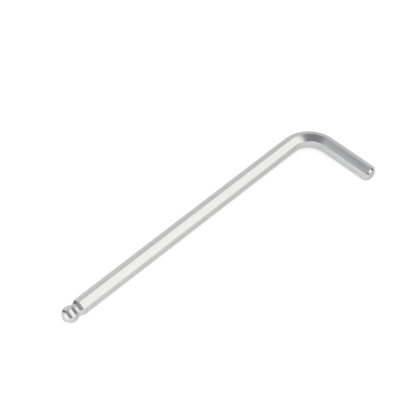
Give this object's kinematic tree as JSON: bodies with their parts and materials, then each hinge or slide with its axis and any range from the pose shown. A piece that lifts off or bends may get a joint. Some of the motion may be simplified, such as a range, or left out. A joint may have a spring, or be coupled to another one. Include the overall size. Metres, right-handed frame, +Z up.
{
  "type": "hex key",
  "caption": "L-shaped hexagon key with a hexagonal ball end on the long arm and a chamfered flat end on the short arm, lying flat.",
  "frame": {"origin": "middle of the footprint, on the surface that the key lies on", "axes": "+X from the ball end along the long arm to the bend, -Y from the bend along the short arm to its end face, +Z up"},
  "size_m": [0.141, 0.038, 0.0067],
  "materials": {
    "plated_steel": "bright nickel-chrome plating over drawn hexagonal bar, with faint lengthwise draw lines and ground faces at the ball"
  },
  "bodies": {
    "root": {"hex_key": "plated_steel"}
  },
  "joints": []
}
